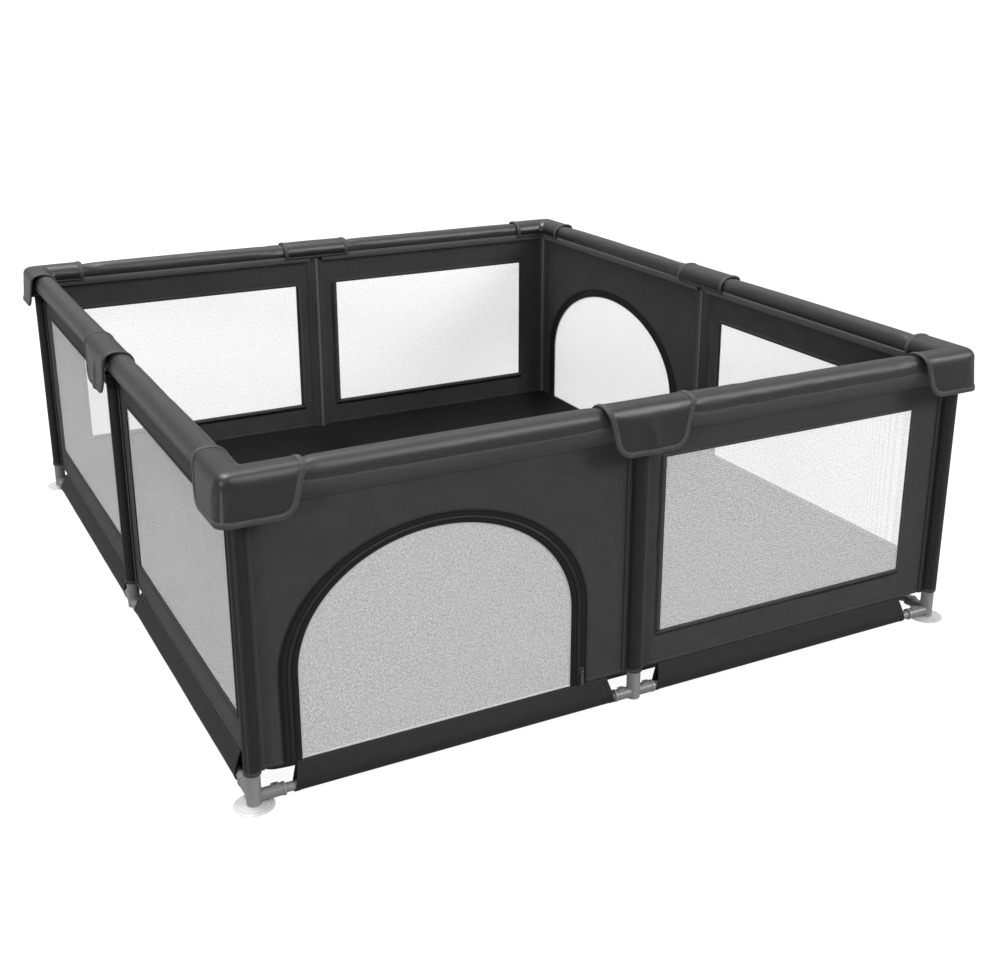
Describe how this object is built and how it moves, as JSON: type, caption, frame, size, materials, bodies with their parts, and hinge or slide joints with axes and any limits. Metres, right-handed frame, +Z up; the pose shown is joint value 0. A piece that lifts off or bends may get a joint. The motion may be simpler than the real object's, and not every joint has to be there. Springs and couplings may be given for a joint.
{
  "type": "playpen",
  "caption": "Rectangular play yard: plug-together tube frame, padded top rail, dark fabric walls with mesh windows, zip-down mesh doors and suction feet.",
  "frame": {"origin": "on the floor, in the middle of the footprint", "axes": "+X to the right along the front wall, +Y from the front wall to the back wall, +Z up"},
  "size_m": [1.8, 2, 0.691],
  "materials": {
    "steel_tube": "grey powder-coated steel tube",
    "connector_plastic": "satin grey moulded plastic",
    "button_plastic": "black plastic",
    "suction_rubber": "cloudy translucent soft vinyl",
    "foam": "closed-cell foam",
    "cap_fabric": "charcoal woven fabric over thin padding, bound edges",
    "wall_fabric": "charcoal woven polyester",
    "window_mesh": "off-white see-through net",
    "zip_tape": "black zip tape with coil",
    "zip_metal": "black enamelled metal",
    "mat_fabric": "black oxford cloth"
  },
  "bodies": {
    "pen": {"bottom_tubes": "steel_tube", "corner_cap_back_left": "cap_fabric", "corner_cap_back_right": "cap_fabric", "corner_cap_front_left": "cap_fabric", "corner_cap_front_right": "cap_fabric", "door_surround_front": "wall_fabric", "door_surround_right": "wall_fabric", "floor_mat": "mat_fabric", "foot_connector_back_left": "connector_plastic", "foot_connector_back_right": "connector_plastic", "foot_connector_front_left": "connector_plastic", "foot_connector_front_right": "connector_plastic", "middle_cap_back": "cap_fabric", "middle_cap_front": "cap_fabric", "middle_cap_left": "cap_fabric", "middle_cap_right": "cap_fabric", "post_back_left": "steel_tube", "post_back_middle": "steel_tube", "post_back_right": "steel_tube", "post_front_left": "steel_tube", "post_front_middle": "steel_tube", "post_front_right": "steel_tube", "post_left_middle": "steel_tube", "post_right_middle": "steel_tube", "rail_foam": "foam", "suction_cup_back_left": "suction_rubber", "suction_cup_back_right": "suction_rubber", "suction_cup_front_left": "suction_rubber", "suction_cup_front_right": "suction_rubber", "tee_connector_back": "connector_plastic", "tee_connector_front": "connector_plastic", "tee_connector_left": "connector_plastic", "tee_connector_right": "connector_plastic", "top_corner_connectors": "connector_plastic", "top_tee_connectors": "connector_plastic", "top_tubes": "steel_tube", "wall_fabric_back": "wall_fabric", "wall_fabric_front": "wall_fabric", "wall_fabric_left": "wall_fabric", "wall_fabric_right": "wall_fabric", "window_mesh_back": "window_mesh", "window_mesh_front": "window_mesh", "window_mesh_left": "window_mesh", "window_mesh_right": "window_mesh", "zip_tape_front": "zip_tape", "zip_tape_right": "zip_tape"},
    "door_front": {"door_front": "window_mesh"},
    "zip_slider_front": {"zip_slider_front": "zip_metal"},
    "zip_pull_front": {"zip_pull_front": "zip_metal"},
    "door_right": {"door_right": "window_mesh"},
    "zip_slider_right": {"zip_slider_right": "zip_metal"},
    "zip_pull_right": {"zip_pull_right": "zip_metal"},
    "snap_button_front_left_x": {"snap_button_front_left_x": "button_plastic"},
    "snap_button_front_left_y": {"snap_button_front_left_y": "button_plastic"},
    "snap_button_front_right_x": {"snap_button_front_right_x": "button_plastic"},
    "snap_button_front_right_y": {"snap_button_front_right_y": "button_plastic"},
    "snap_button_back_right_x": {"snap_button_back_right_x": "button_plastic"},
    "snap_button_back_right_y": {"snap_button_back_right_y": "button_plastic"},
    "snap_button_back_left_x": {"snap_button_back_left_x": "button_plastic"},
    "snap_button_back_left_y": {"snap_button_back_left_y": "button_plastic"}
  },
  "joints": [
    {"name": "door_front_drop", "type": "hinge", "parent": "pen", "child": "door_front", "pos_m": [-0.457, -0.9545, 0.067], "axis": [1, 0, 0], "range_deg": [0, 95]},
    {"name": "zip_front_slide", "type": "slide", "parent": "pen", "child": "zip_slider_front", "axis": [0, 0, 1], "range_m": [0, 0.14]},
    {"name": "zip_front_pull_swing", "type": "hinge", "parent": "zip_slider_front", "child": "zip_pull_front", "pos_m": [-0.1323, -0.9618, 0.1005], "axis": [-1, 0, 0], "range_deg": [0, 150]},
    {"name": "door_right_drop", "type": "hinge", "parent": "pen", "child": "door_right", "pos_m": [0.8545, 0.508, 0.067], "axis": [0, 1, 0], "range_deg": [0, 95]},
    {"name": "zip_right_slide", "type": "slide", "parent": "pen", "child": "zip_slider_right", "axis": [0, 0, 1], "range_m": [0, 0.14]},
    {"name": "zip_right_pull_swing", "type": "hinge", "parent": "zip_slider_right", "child": "zip_pull_right", "pos_m": [0.8618, 0.1253, 0.1005], "axis": [0, -1, 0], "range_deg": [0, 150]},
    {"name": "snap_front_left_x_press", "type": "slide", "parent": "pen", "child": "snap_button_front_left_x", "axis": [0, 0, -1], "range_m": [0, 0.004], "stiffness_N_per_m": 400},
    {"name": "snap_front_left_y_press", "type": "slide", "parent": "pen", "child": "snap_button_front_left_y", "axis": [0, 0, -1], "range_m": [0, 0.004], "stiffness_N_per_m": 400},
    {"name": "snap_front_right_x_press", "type": "slide", "parent": "pen", "child": "snap_button_front_right_x", "axis": [0, 0, -1], "range_m": [0, 0.004], "stiffness_N_per_m": 400},
    {"name": "snap_front_right_y_press", "type": "slide", "parent": "pen", "child": "snap_button_front_right_y", "axis": [0, 0, -1], "range_m": [0, 0.004], "stiffness_N_per_m": 400},
    {"name": "snap_back_right_x_press", "type": "slide", "parent": "pen", "child": "snap_button_back_right_x", "axis": [0, 0, -1], "range_m": [0, 0.004], "stiffness_N_per_m": 400},
    {"name": "snap_back_right_y_press", "type": "slide", "parent": "pen", "child": "snap_button_back_right_y", "axis": [0, 0, -1], "range_m": [0, 0.004], "stiffness_N_per_m": 400},
    {"name": "snap_back_left_x_press", "type": "slide", "parent": "pen", "child": "snap_button_back_left_x", "axis": [0, 0, -1], "range_m": [0, 0.004], "stiffness_N_per_m": 400},
    {"name": "snap_back_left_y_press", "type": "slide", "parent": "pen", "child": "snap_button_back_left_y", "axis": [0, 0, -1], "range_m": [0, 0.004], "stiffness_N_per_m": 400}
  ]
}
